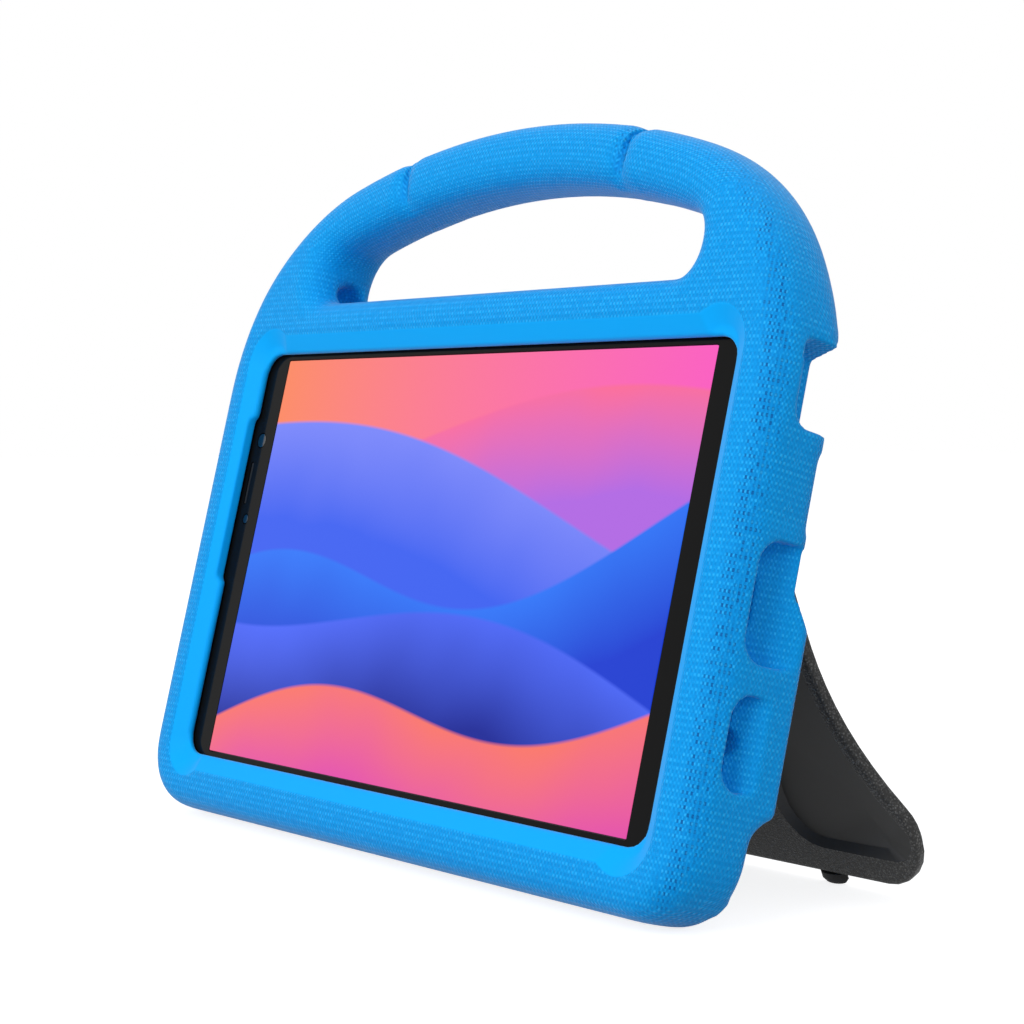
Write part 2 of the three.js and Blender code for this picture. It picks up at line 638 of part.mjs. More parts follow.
const ringProfile = [
  new THREE.Vector2(REAR_CAM_R - 1.3, -2.6),
  new THREE.Vector2(REAR_CAM_R, -2.6),
  new THREE.Vector2(REAR_CAM_R, 0.9),
  new THREE.Vector2(REAR_CAM_R - 0.4, 1.2),
  new THREE.Vector2(REAR_CAM_R - 1.3, 1.2),
  new THREE.Vector2(REAR_CAM_R - 1.3, -2.6),
];
const camRing = new THREE.LatheGeometry(ringProfile, 28);
camRing.translate(rearCamX, TABLET_T, rearCamZ);
node(leaning, 'rear_camera_ring', solid(camRing), darkMetal());
node(leaning, 'rear_camera_glass', disc(
  rearCamX, rearCamZ, REAR_CAM_R - 1.6, TABLET_T - 2.2, TABLET_T + 0.8), blackGlass());

for (const [name, x, l] of [['volume_key', volumeX, VOLUME_L], ['power_key', powerX, POWER_L]]) {
  const key = new THREE.BoxGeometry(l, KEY_T, KEY_H);
  key.translate(x, keyY, TABLET_H / 2 - 0.25);
  node(leaning, name, key, darkMetal());
}
const chargeShell = solid(prism(stadium(portY, CHARGE_Z, 3.2, 9.2), socketIn, TABLET_W / 2 - 0.15));
const chargeGap = solid(prism(stadium(portY, CHARGE_Z, 2.5, 8.5), socketIn + 1, halfW));
node(leaning, 'charging_socket', chargeShell.subtract(chargeGap), steel());
const audioShell = solid(prism(stadium(portY, AUDIO_Z, 5, 5, 6), socketIn, TABLET_W / 2 - 0.15));
const audioGap = solid(prism(stadium(portY, AUDIO_Z, 3.6, 3.6, 6), socketIn + 1, halfW));
node(leaning, 'headphone_socket', audioShell.subtract(audioGap), blackPlastic());

// Hinge: plate and middle barrel on the case, inner plate in the pocket floor, four rivets.
function hingePlate() {
  const plate = roundedRect(2 * PLATE_HALF, PLATE_H, PLATE_R, 0, rivetZ + 1, 4);
  let body = solid(slab(plate, backY + FIT, backY + FIT + PLATE_T, 0.4, 2));
  const web = new THREE.BoxGeometry(2 * BARREL_HALF, NECK_T, NECK_H);
  web.translate(0, backY + FIT + 1.7, HINGE_Z + NECK_H / 2);
  body = body.add(solid(web));
  body = body.add(solid(barX(KNUCKLE_R, -BARREL_HALF, BARREL_HALF, hingeY, HINGE_Z)));
  for (const sx of rivetShares) {
    body = body.subtract(solid(disc(sx * rivetX, rivetZ, rivetHole, backY - 2, backY + 9)));
  }
  return body.subtract(solid(barX(PIN_R + PIN_FIT, -90, 90, hingeY, HINGE_Z, 16)));
}
node(leaning, 'hinge_plate', hingePlate(), blackPlastic());

function innerPlate() {
  const plate = roundedRect(2 * rivetX + STRAP_H + 2, STRAP_H, PLATE_R, 0, rivetZ, 4);
  let body = solid(slab(plate, floorY + 0.1, floorY + 0.1 + STRAP_T));
  for (const sx of rivetShares) {
    body = body.subtract(solid(disc(sx * rivetX, rivetZ, rivetHole, 0, backY)));
  }
  return body;
}
node(leaning, 'hinge_inner_plate', innerPlate(), darkMetal());
const headY = backY + PLATE_T + 2 * FIT;
rivetShares.forEach((sx, i) => {
  const shank = solid(disc(sx * rivetX, rivetZ, RIVET_R, floorY + 0.1, headY + 0.1, 16));
  const head = solid(disc(sx * rivetX, rivetZ, HEAD_R, headY, headY + HEAD_T, 20));
  node(leaning, `hinge_rivet_${i + 1}`, shank.add(head), steel());
});

// Leg, turned out from the back about the hinge axis.
const leg = new THREE.Group();
leg.position.set(0, along(hingeY, HINGE_Z) + shiftY, hingeHigh);
leg.rotation.x = rad(legLean);
root.add(leg);

const legBarrels = [
  [-BARREL_END, -BARREL_HALF - BARREL_GAP],
  [BARREL_HALF + BARREL_GAP, BARREL_END],
];
function legPlate() {
  const shape = new THREE.Shape(mirrored(legHalf(legLength)));
  const g = slab(shape, -LEG_T / 2, LEG_T / 2, LEG_EDGE_R, 3);
  g.translate(0, 0, -legLength);
  let body = solid(g);
  for (const [x0, x1] of legBarrels) {
    const neck = new THREE.BoxGeometry(x1 - x0, NECK_T, NECK_H);
    neck.translate((x0 + x1) / 2, 0, -NECK_H / 2 - 0.5);
    body = body.add(solid(neck)).add(solid(barX(KNUCKLE_R, x0, x1, 0, 0)));
  }
  // Smooth sunk panel on the side that faces the case, with sloped walls.
  body = body.subtract(sunkPanel());
  for (const side of [1, -1]) {
    const bore = new THREE.CylinderGeometry(SPIGOT_R + PIN_FIT, SPIGOT_R + PIN_FIT, 2 * SPIGOT_L + 0.8, 16);
    bore.rotateX(Math.PI / 2);
    bore.translate(side * pegX, 0, -legLength);
    body = body.subtract(solid(bore));
  }
  const clear = new THREE.BoxGeometry(2 * (BARREL_HALF + BARREL_GAP), 3 * KNUCKLE_R, 12);
  clear.translate(0, 0, -0.6);
  body = body.subtract(solid(clear));
  return body.subtract(solid(barX(PIN_R + PIN_FIT, -90, 90, 0, 0, 16)));
}

// A line beside a rising one, on its inner side.
function beside(points, gap) {
  return points.map(([x, z], i) => {
    const [x0, z0] = points[Math.max(0, i - 1)];
    const [x1, z1] = points[Math.min(points.length - 1, i + 1)];
    const step = Math.hypot(x1 - x0, z1 - z0);
    return [x - gap * (z1 - z0) / step, z + gap * (x1 - x0) / step];
  });
}

// Half outline of the sunk panel, drawn in by its sloped sides, its steep walls and its corners.
function panelHalf(slope, steep, tipR) {
  const inner = legWide - PANEL_IN;
  const bend = PANEL_BEND;
  const low = PANEL_FOOT + steep;
  const tipX = legWide - PANEL_TIP - slope - tipR;
  const flare = legHalf(legLength).filter(([, z]) => z > LEG_TOE_R + LEG_SIDE_R && z <= LEG_FLARE_H);
  const side = PANEL_RIM + slope;
  const top = legLength - PANEL_TOP - steep;
  return [
    [0, PANEL_HIGH + steep],
    ...arc(inner - bend, PANEL_HIGH - bend, bend + steep, 90, 0, 5),
    ...arc(inner + bend, PANEL_FOOT + bend, bend - steep, 180, 270, 5),
    ...arc(tipX, low + tipR, tipR, -90, 12, 3),
    ...beside(flare, side),
    [legWaist - side, top],
    [0, top],
  ];
}

// The walls run from the panel's mouth to its smaller floor, and on in front of the leg.
function sunkPanel() {
  const mouth = mirrored(panelHalf(0, 0, PANEL_TIP_R));
  const base = mirrored(panelHalf(PANEL_SLOPE, PANEL_STEEP, PANEL_FLOOR_R));
  const g = slab(new THREE.Shape(mouth), -LEG_T / 2 - PANEL_DEEP, -LEG_T / 2 + PANEL_DEEP);
  const p = g.attributes.position;
  for (let i = 0; i < p.count; i += 1) {
    const at = mouth.findIndex((m) => Math.hypot(m.x - p.getX(i), m.y - p.getZ(i)) < 0.001);
    const way = p.getY(i) < -LEG_T / 2 ? -1 : 1;
    p.setX(i, mouth[at].x + way * (base[at].x - mouth[at].x));
    p.setZ(i, mouth[at].y + way * (base[at].y - mouth[at].y));
  }
  g.translate(0, 0, -legLength);
  return solid(g);
}
node(leg, 'stand_leg', legPlate(), blackPlastic());
[['left', -1], ['right', 1]].forEach(([word, side]) => {
  const pegTop = FOOT_PEG_H - PIN_FIT;
  const points = [
    new THREE.Vector2(0, 0),
    new THREE.Vector2(FOOT_PEG_R - FOOT_PEG_EDGE, 0),
    new THREE.Vector2(FOOT_PEG_R, FOOT_PEG_EDGE),
    new THREE.Vector2(FOOT_PEG_R, pegTop),
    new THREE.Vector2(SPIGOT_R, pegTop),
    new THREE.Vector2(SPIGOT_R, pegTop + SPIGOT_L),
    new THREE.Vector2(0, pegTop + SPIGOT_L),
  ];
  const g = new THREE.LatheGeometry(points, 20);
  g.rotateX(Math.PI / 2);
  const p = g.attributes.position;
  for (let i = 0; i < p.count; i += 1) {
    const inSpigot = Math.hypot(p.getX(i), p.getY(i)) < SPIGOT_R + PIN_FIT;
    p.setY(i, p.getY(i) * (inSpigot ? 1 : FOOT_PEG_FLAT));
  }
  g.translate(side * pegX, 0, -legLength - FOOT_PEG_H);
  node(leg, `stand_foot_${word}`, g, blackRubber());
});
const pinHalf = BARREL_END + PIN_OVER;
node(leg, 'hinge_pin', barX(PIN_R, -pinHalf, pinHalf, 0, 0, 16), steel());

// Middle of the outline over the origin, lowest edge on the floor.
const whole = new THREE.Box3().setFromObject(root, true);
const shift = -(whole.min.y + whole.max.y) / 2;
for (const group of [leaning, leg]) {
  group.position.y += shift;
  group.position.z -= whole.min.z;
}

export default root;
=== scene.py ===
# %% [markdown]
# # A foam tablet case with a carry handle
# The object is a soft blue foam case with an arched handle. A small tablet rests in its pocket,
# and a black leg, hinged on the back, holds it up. The solid model brings every hard piece to
# its place. This lesson dresses it: the foam gets soft rounded edges and a fine woven grain,
# the black leg its grain and its smooth sunk panel, and the screen a lit picture.

# %% Load the solid model
import bpy
import bmesh
import json
import math
from mathutils import Matrix, Vector


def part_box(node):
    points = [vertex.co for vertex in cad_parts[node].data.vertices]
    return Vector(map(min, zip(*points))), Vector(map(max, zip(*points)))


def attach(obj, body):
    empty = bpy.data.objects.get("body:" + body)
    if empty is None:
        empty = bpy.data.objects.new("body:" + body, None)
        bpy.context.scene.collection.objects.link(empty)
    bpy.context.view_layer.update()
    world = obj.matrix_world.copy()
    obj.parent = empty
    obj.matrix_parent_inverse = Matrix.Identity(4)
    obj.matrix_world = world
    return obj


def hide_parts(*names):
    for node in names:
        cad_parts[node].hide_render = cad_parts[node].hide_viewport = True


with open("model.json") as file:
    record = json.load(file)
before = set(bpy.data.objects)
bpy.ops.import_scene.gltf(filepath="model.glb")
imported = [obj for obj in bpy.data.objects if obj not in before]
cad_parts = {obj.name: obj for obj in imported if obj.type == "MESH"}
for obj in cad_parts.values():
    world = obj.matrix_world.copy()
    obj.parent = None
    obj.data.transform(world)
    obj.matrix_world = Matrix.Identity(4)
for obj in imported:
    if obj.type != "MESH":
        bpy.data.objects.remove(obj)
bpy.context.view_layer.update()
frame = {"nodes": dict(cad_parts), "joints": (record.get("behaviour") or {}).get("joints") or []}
nodes = frame["nodes"]

# %% [markdown]
# The case leans back by 14 degrees. Many patterns are easier in the frame of the case itself,
# where X runs across the screen, Y goes into it and Z goes up along it. The middle of the
# screen's glass is the origin of that frame. The leg has a frame of its own at its hinge.

# %% The two leaning frames
LEAN = math.radians(14)
LEG_LEAN = math.radians(22.2)
glass_low, glass_high = (Vector(p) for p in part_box("tablet_display"))
HALF_GLASS = 0.00046
GLASS_MIDDLE = (glass_low + glass_high) / 2
GLASS_MIDDLE -= HALF_GLASS * Vector((0, math.cos(LEAN), -math.sin(LEAN)))
to_case = Matrix.Rotation(LEAN, 4, "X") @ Matrix.Translation(-GLASS_MIDDLE)
hinge = next(j for j in frame["joints"] if j["name"] == "stand_hinge")
HINGE_AT = Vector(hinge["pos_m"])
to_leg = Matrix.Rotation(-LEG_LEAN, 4, "X") @ Matrix.Translation(-HINGE_AT)
print("glass middle", GLASS_MIDDLE, "hinge", HINGE_AT)

# %% [markdown]
# The camera stands to the right of the case and a little above its middle. A long lens keeps
# the case free of strong perspective.

# %% Camera
LENS = 83.39
CAMERA_AT = (0.46556, -0.35383, 0.10629)
CAMERA_LOOK = (-0.79196, 0.60941, -0.03767)
camera_data = bpy.data.cameras.new("view")
camera_data.lens = LENS
camera_data.sensor_width = 36
camera = bpy.data.objects.new("view", camera_data)
camera.location = CAMERA_AT
camera.rotation_euler = Vector(CAMERA_LOOK).to_track_quat("-Z", "Y").to_euler()
camera_data.clip_start = 0.01
bpy.context.collection.objects.link(camera)
bpy.context.scene.camera = camera
bpy.context.scene.view_settings.view_transform = "Standard"
print("camera", tuple(camera.location))

# %% [markdown]
# Colours are easiest to read as written on a screen, so a small helper turns such a value into
# the linear colour that a shader wants. Node trees are built with a few short helpers too.

# %% Helpers for colours and node trees
def tone(code):
    """A screen colour such as 0AA0FF as linear red, green, blue and alpha."""
    parts = [int(code[i:i + 2], 16) / 255 for i in (0, 2, 4)]
    linear = [c / 12.92 if c <= 0.04045 else ((c + 0.055) / 1.055) ** 2.4 for c in parts]
    return (*linear, 1.0)


def new_material(name):
    material = bpy.data.materials.new(name)
    material.use_nodes = True
    tree = material.node_tree
    return material, tree, tree.nodes["Principled BSDF"]


def put(tree, socket, value):
    """Feeds a socket from another socket, or sets it to a plain value."""
    if isinstance(value, bpy.types.NodeSocket):
        tree.links.new(value, socket)
    else:
        socket.default_value = value


def math_node(tree, operation, a, b=0.0, c=0.0, clamp=False):
    node = tree.nodes.new("ShaderNodeMath")
    node.operation = operation
    node.use_clamp = clamp
    for socket, value in zip(node.inputs, (a, b, c)):
        put(tree, socket, value)
    return node.outputs[0]


def mix_colour(tree, factor, a, b):
    node = tree.nodes.new("ShaderNodeMix")
    node.data_type = "RGBA"
    put(tree, node.inputs[0], factor)
    put(tree, node.inputs[6], a)
    put(tree, node.inputs[7], b)
    return node.outputs[2]


def noise(tree, vector, scale, detail=2.0, roughness=0.5):
    node = tree.nodes.new("ShaderNodeTexNoise")
    put(tree, node.inputs["Vector"], vector)
    node.inputs["Scale"].default_value = scale
    node.inputs["Detail"].default_value = detail
    node.inputs["Roughness"].default_value = roughness
    return node.outputs["Fac"]


def bump(tree, shader, height, distance, strength=1.0):
    node = tree.nodes.new("ShaderNodeBump")
    node.inputs["Strength"].default_value = strength
    node.inputs["Distance"].default_value = distance
    put(tree, node.inputs["Height"], height)
    tree.links.new(node.outputs["Normal"], shader.inputs["Normal"])


def turned(tree, matrix):
    """Place and direction of the surface in another frame, each as x, y and z sockets."""
    coordinates = tree.nodes.new("ShaderNodeTexCoord")
    out = []
    for kind, source in (("POINT", "Object"), ("VECTOR", "Normal")):
        mapping = tree.nodes.new("ShaderNodeMapping")
        mapping.vector_type = kind
        mapping.inputs["Rotation"].default_value = matrix.to_euler()
        if kind == "POINT":
            mapping.inputs["Location"].default_value = matrix.to_translation()
        tree.links.new(coordinates.outputs[source], mapping.inputs["Vector"])
        split = tree.nodes.new("ShaderNodeSeparateXYZ")
        tree.links.new(mapping.outputs[0], split.inputs[0])
        out.append((mapping.outputs[0], *split.outputs))
    return out


print("helpers ready")

# %% [markdown]
# The grain of the foam is moulded in like a weave: rows of tiny pips, each row shifted by half
# a pip. Two cosine waves multiplied give just that, and white noise, one value for each pip,
# makes some of them deeper. A weave needs two lengths along the surface, one across the rows and
# one along them. Round an edge these are sums of two coordinates, so that the pips follow it.

# %% A weave of pips
PIP = 0.00060    # half the pitch of the pips in a row, in metres
ROW = 0.00075    # half the pitch of the rows
LEAST = 0.4      # height of the lowest pip, where the tallest is 1


def blend(tree, factor, a, b):
    """a where factor is 0, b where it is 1."""
    return math_node(tree, "MULTIPLY_ADD", math_node(tree, "SUBTRACT", b, a), factor, a)


def chance(tree, a, b, seed):
    """One random value from 0 to 1 for each whole step of a and b."""
    vector = tree.nodes.new("ShaderNodeCombineXYZ")
    put(tree, vector.inputs[0], math_node(tree, "ROUND", a))
    put(tree, vector.inputs[1], math_node(tree, "ROUND", b))
    vector.inputs[2].default_value = seed
    white = tree.nodes.new("ShaderNodeTexWhiteNoise")
    white.noise_dimensions = "3D"
    tree.links.new(vector.outputs[0], white.inputs["Vector"])
    return white.outputs["Value"]


def weave(tree, across, along, seed):
    """Height of the pips from 0 to 1, for a length across the rows and one along them."""
    a = math_node(tree, "MULTIPLY", across, 1 / ROW)
    b = math_node(tree, "MULTIPLY", along, 1 / PIP)
    rows = math_node(tree, "COSINE", math_node(tree, "MULTIPLY", a, math.pi))
    pips = math_node(tree, "COSINE", math_node(tree, "MULTIPLY", b, math.pi))
    wave = math_node(tree, "MULTIPLY", rows, math_node(tree, "MULTIPLY_ADD", pips, 0.65, 0.35))
    height = math_node(tree, "MULTIPLY_ADD", wave, 0.7, 0.45, clamp=True)
    luck = math_node(tree, "MULTIPLY_ADD", chance(tree, a, b, seed), 0.6, LEAST)
    return math_node(tree, "MULTIPLY", height, luck)


print("grain pitch in mm:", 2000 * PIP, 2000 * ROW)

# %% [markdown]
# On the walls of the case the rows are level. On the handle they run along its arch, so there
# the length across the rows is the distance from the outline, which is made of three circles:
# one for the crown and one for each shoulder. On level faces, such as the sill of the opening
# and the underside, the rows run from left to right.

# %% The woven grain of the foam
MID_DEPTH = 0.0062      # middle of the foam's depth
CROWN_R = 0.230         # circle of the crown, and the height of its centre
CROWN_Z = -0.1172
SHOULDER_R = 0.0612     # circle of a shoulder, and its centre
SHOULDER_X = 0.0490
SHOULDER_Z = 0.0445
MEET = math.atan2(SHOULDER_X, SHOULDER_Z - CROWN_Z)
HANDLE_FROM = 0.078     # height where the rows start to follow the arch
HANDLE_SLOPE = 1.28     # rise of the line beside it, from the shoulder's centre
LEVEL_FROM = 0.64       # how far up a face looks before it counts as level
TAKE_OVER = 9.0         # how fast one weave takes over from the next


def distance(tree, a, b):
    squares = math_node(tree, "MULTIPLY_ADD", a, a, math_node(tree, "MULTIPLY", b, b))
    return math_node(tree, "SQRT", squares)


def foam_grain(tree, place, facing):
    """Height of the pips on the foam from 0 to 1, and how much a place lies in a hollow."""
    _, x, y, z = place
    _, nx, ny, nz = facing
    wide = math_node(tree, "ABSOLUTE", x)
    depth = math_node(tree, "SUBTRACT", y, MID_DEPTH)
    deep = math_node(tree, "ABSOLUTE", depth)

    # Walls: the outer edges, and hollows, where the surface turns the other way.
    edge_way = math_node(tree, "SUBTRACT", wide, deep)
    hollow_way = math_node(tree, "ADD", wide, deep)
    turn = math_node(tree, "MULTIPLY", math_node(tree, "MULTIPLY", nx, ny), -1.0)
    quarter = math_node(tree, "SIGN", math_node(tree, "MULTIPLY", x, depth))
    turn = math_node(tree, "MULTIPLY", turn, quarter)
    hollow = math_node(tree, "MULTIPLY_ADD", turn, TAKE_OVER, -0.4, clamp=True)
    wall = blend(tree, hollow, weave(tree, z, edge_way, 1.0), weave(tree, z, hollow_way, 2.0))

    # Level faces.
    level = math_node(tree, "SUBTRACT", math_node(tree, "ABSOLUTE", nz), LEVEL_FROM)
    level = math_node(tree, "MULTIPLY", level, TAKE_OVER, clamp=True)
    wall = blend(tree, level, wall, weave(tree, deep, x, 3.0))

    # Handle: distance from the outline, and length along it.
    side = math_node(tree, "SUBTRACT", wide, SHOULDER_X)
    high = math_node(tree, "SUBTRACT", z, SHOULDER_Z)
    over = math_node(tree, "SUBTRACT", z, CROWN_Z)
    by_shoulder = math_node(tree, "SUBTRACT", distance(tree, side, high), SHOULDER_R)
    by_crown = math_node(tree, "SUBTRACT", distance(tree, x, over), CROWN_R)
    on_crown = math_node(tree, "SUBTRACT", math_node(tree, "MULTIPLY", high, math.tan(MEET)), side)
    on_crown = math_node(tree, "MULTIPLY_ADD", on_crown, 800.0, 0.5, clamp=True)
    beside = blend(tree, on_crown, by_shoulder, by_crown)
    crown_way = math_node(tree, "MULTIPLY", math_node(tree, "ARCTAN2", wide, over), CROWN_R)
    round_way = math_node(tree, "MULTIPLY", math_node(tree, "ARCTAN2", side, high), SHOULDER_R)
    round_way = math_node(tree, "ADD", round_way, MEET * (CROWN_R - SHOULDER_R))
    length = blend(tree, on_crown, round_way, crown_way)
    over_edge = weave(tree, math_node(tree, "SUBTRACT", beside, deep), length, 4.0)
    under_edge = weave(tree, math_node(tree, "ADD", beside, deep), length, 5.0)
    below = math_node(tree, "MULTIPLY_ADD", nz, -TAKE_OVER, -0.5, clamp=True)
    arch = blend(tree, below, over_edge, under_edge)
    on_arch = math_node(tree, "MULTIPLY_ADD", side, -HANDLE_SLOPE, high)
    on_arch = math_node(tree, "MULTIPLY_ADD", on_arch, 300.0, 0.5, clamp=True)
    above = math_node(tree, "MULTIPLY_ADD", z, 400.0, -400.0 * HANDLE_FROM, clamp=True)
    return blend(tree, math_node(tree, "MULTIPLY", on_arch, above), wall, arch), hollow


def inside(tree, value, low, high, soft):
    """1 where value lies between low and high, fading over soft at both ends."""
    rise = math_node(tree, "DIVIDE", math_node(tree, "SUBTRACT", value, low), soft, clamp=True)
    fall = math_node(tree, "DIVIDE", math_node(tree, "SUBTRACT", high, value), soft, clamp=True)
    return math_node(tree, "MULTIPLY", rise, fall)


print("crown radius in mm:", 1000 * CROWN_R)

# %% [markdown]
# Foam has no sharp edge anywhere. The solid model's foam is copied, its loose triangles are
# merged, and a voxel remesh turns it into one even skin. The remesh works on a grid, so the
# copy is first turned upright into the frame of the case: then the flat faces and the straight
# edges lie along the grid and come out clean.

# %% Copies of solid pieces
def copy_of(node, name, body=None, merge=1e-6):
    """A merged copy of a solid piece, which stands for it and rides on its body."""
    mesh = nodes[node].data.copy()
    mesh.name = name
    mesh.materials.clear()
    bm = bmesh.new()
    bm.from_mesh(mesh)
    bmesh.ops.remove_doubles(bm, verts=bm.verts, dist=merge)
    bm.to_mesh(mesh)
    bm.free()
    piece = bpy.data.objects.new(name, mesh)
    bpy.context.collection.objects.link(piece)
    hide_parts(node)
    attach(piece, body or "case")
    return piece


def baked(piece):
    """Applies the modifiers of a piece to its mesh."""
    graph = bpy.context.evaluated_depsgraph_get()
    mesh = bpy.data.meshes.new_from_object(piece.evaluated_get(graph))
    piece.modifiers.clear()
    old = piece.data
    piece.data = mesh
    bpy.data.meshes.remove(old)
    mesh.name = piece.name


FINE_VOXEL = 0.0006
VOXEL = FINE_VOXEL
foam = copy_of("foam_case", "foam_case_soft")
foam.data.transform(to_case)
remesh = foam.modifiers.new("skin", "REMESH")
remesh.mode = "VOXEL"
remesh.voxel_size = VOXEL
baked(foam)
print("foam skin faces:", len(foam.data.polygons))

# %% [markdown]
# Smoothing rounds the edges. The outside and the handle are large and soft, so they get many
# passes. The window, the scoops, the creases and the slots get two only, and keep their shape.
# How far a pass reaches goes with the voxel, so a coarser skin gets fewer.

# %% Round the foam
KEEP = [
    # x, y and z ranges in the case's frame, in metres, that keep their shape
    ((-0.1025, 0.1025), (-0.0056, 0.012), (-0.0626, 0.0626)),
    ((0.098, 0.13), (0.0, 0.03), (0.033, 0.0605)),
    ((0.098, 0.13), (-0.0005, 0.0195), (-0.0445, 0.0155)),
    ((-0.09, -0.03), (0.002, 0.016), (0.060, 0.0745)),
    ((0.0395, 0.050), (-0.02, 0.03), (0.085, 0.13)),
    ((-0.050, -0.0395), (-0.02, 0.03), (0.085, 0.13)),
    ((-0.106, 0.106), (0.0125, 0.03), (-0.066, 0.056)),
]
SOFT_PASSES = round(36 * (FINE_VOXEL / VOXEL) ** 2)
KEPT_PASSES = 2


def kept(point):
    return any(all(lo < v < hi for v, (lo, hi) in zip(point, box)) for box in KEEP)


def smooth(bm, verts, passes):
    for _ in range(passes):
        bmesh.ops.smooth_vert(bm, verts=verts, factor=0.5, use_axis_x=True, use_axis_y=True,
                              use_axis_z=True)


bm = bmesh.new()
bm.from_mesh(foam.data)
free = [v for v in bm.verts if not kept(v.co)]
smooth(bm, free, SOFT_PASSES)
smooth(bm, bm.verts, KEPT_PASSES)
print("smoothed points:", len(free), "passes:", SOFT_PASSES)

# %% [markdown]
# Two creases mark off the grip. Each is a narrow groove between two soft shoulders. The groove
# comes with the solid, and the shoulders are pressed in here: points near a crease move
# inwards, the more the closer they are, on the front and the top of the handle only.

# %% Press the creases in
CREASE_X = 0.0443        # place of a crease at the height CREASE_Z
CREASE_Z = 0.103
CREASE_TILT = math.tan(math.radians(10))
CREASE_WIDE = 0.0034     # reach and depth of its soft shoulders
CREASE_DIP = 0.0010
CREASE_LOW = 0.088       # nothing below this height is pressed in
LEAST_DIP = 0.00001
bm.normal_update()
moved = 0
for v in bm.verts:
    if v.co.z < CREASE_LOW or v.normal.y > 0.6:
        continue
    away = abs(v.co.x) - CREASE_X - (v.co.z - CREASE_Z) * CREASE_TILT
    facing = min(1.0, max(0.0, 1.6 * max(-v.normal.y, v.normal.z) - 0.3))
    dip = CREASE_DIP * facing * math.exp(-(away / CREASE_WIDE) ** 2)
    if dip > LEAST_DIP:
        v.co -= dip * v.normal
        moved += 1
print("points pressed in:", moved)

# %% Finish the skin
SKIN_FACES = 97000
for face in bm.faces:
    face.smooth = True
bm.to_mesh(foam.data)
bm.free()
lighter = foam.modifiers.new("lighter", "DECIMATE")
lighter.ratio = min(1.0, SKIN_FACES / len(foam.data.polygons))
baked(foam)
for polygon in foam.data.polygons:
    polygon.use_smooth = True
foam.data.transform(to_case.inverted())
print("faces now:", len(foam.data.polygons))

# %% [markdown]
# The foam is a strong sky blue. Between the pips the colour is deeper, a painted shade because
# less light gets there, and the tops of the tallest pips are paler, a painted glint. On the
# rounded edges short grooves cut the rows, and painted shade makes them darker. The sloped band
# round the window and the lip over the glass are smooth, so the grain stops at their edge. A
# little sheen stands for the soft light that foam scatters at its rim.

# %% Foam finish
BLUE = tone("00AEFF")
BLUE_DEEP = tone("0074C6")
BLUE_PALE = tone("3CC2FF")
BLUE_SLIT = tone("0058A0")
BLUE_CREASE = tone("0A5C9E")
DASH = 0.0014            # pitch of the short grooves on a rounded edge
BAND_X = 0.1005          # half width and half height of the smooth band
BAND_Z = 0.0626
BAND_FRONT = -0.0048
BAND_BACK = 0.0090
BAND_SOFT = 0.0003
CREASE_LINE = 0.0007     # half width of the painted shade along a crease's bottom
CREASE_TORN = 0.0004     # how far its edge wanders
CREASE_FROM = 0.0955
GRAIN_DEEP = 0.0003
foam_look, tree, shader = new_material("sky_blue_foam")
place, facing = turned(tree, to_case)
_, x, y, z = place
_, nx, ny, _ = facing
pips, hollow = foam_grain(tree, place, facing)

# The band round the window and the lip are smooth.
across = math_node(tree, "ABSOLUTE", x)
band = inside(tree, across, -1.0, BAND_X, BAND_SOFT)
band = math_node(tree, "MULTIPLY", band, inside(tree, z, -BAND_Z, BAND_Z, BAND_SOFT))
band = math_node(tree, "MULTIPLY", band, inside(tree, y, BAND_FRONT, BAND_BACK, 0.0002))
grainy = math_node(tree, "SUBTRACT", 1.0, band)

# On the rounded edges each row is cut by short upright grooves, some deep and some hardly there.
turn = math_node(tree, "MULTIPLY", nx, ny)
edge = math_node(tree, "MULTIPLY", math_node(tree, "MULTIPLY", turn, turn), 5.0, clamp=True)
edge = math_node(tree, "MULTIPLY", edge, math_node(tree, "SUBTRACT", 1.0, hollow))
rows = math_node(tree, "MULTIPLY", z, 0.5 / ROW)
deep = math_node(tree, "ABSOLUTE", math_node(tree, "SUBTRACT", y, MID_DEPTH))
dashes = math_node(tree, "MULTIPLY", math_node(tree, "SUBTRACT", across, deep), 1 / DASH)
cut = math_node(tree, "COSINE", math_node(tree, "MULTIPLY", dashes, 2 * math.pi))
row_wave = math_node(tree, "COSINE", math_node(tree, "MULTIPLY", rows, 2 * math.pi))
cut = math_node(tree, "MULTIPLY", math_node(tree, "MULTIPLY_ADD", cut, 2.4, 0.2, clamp=True),
                math_node(tree, "MULTIPLY_ADD", row_wave, 2.4, 0.5, clamp=True))
luck = math_node(tree, "MULTIPLY_ADD", chance(tree, rows, dashes, 6.0), 1.5, -0.2, clamp=True)
cut = math_node(tree, "MULTIPLY", cut, luck)
pits = math_node(tree, "MULTIPLY", math_node(tree, "SUBTRACT", 1.0, pips), 0.7)
slits = math_node(tree, "MULTIPLY", math_node(tree, "MULTIPLY", cut, edge), grainy)
pits = math_node(tree, "MULTIPLY_ADD", slits, 0.6, pits)
pits = math_node(tree, "MULTIPLY", pits, grainy, clamp=True)
height = math_node(tree, "SUBTRACT", 1.0, pits)
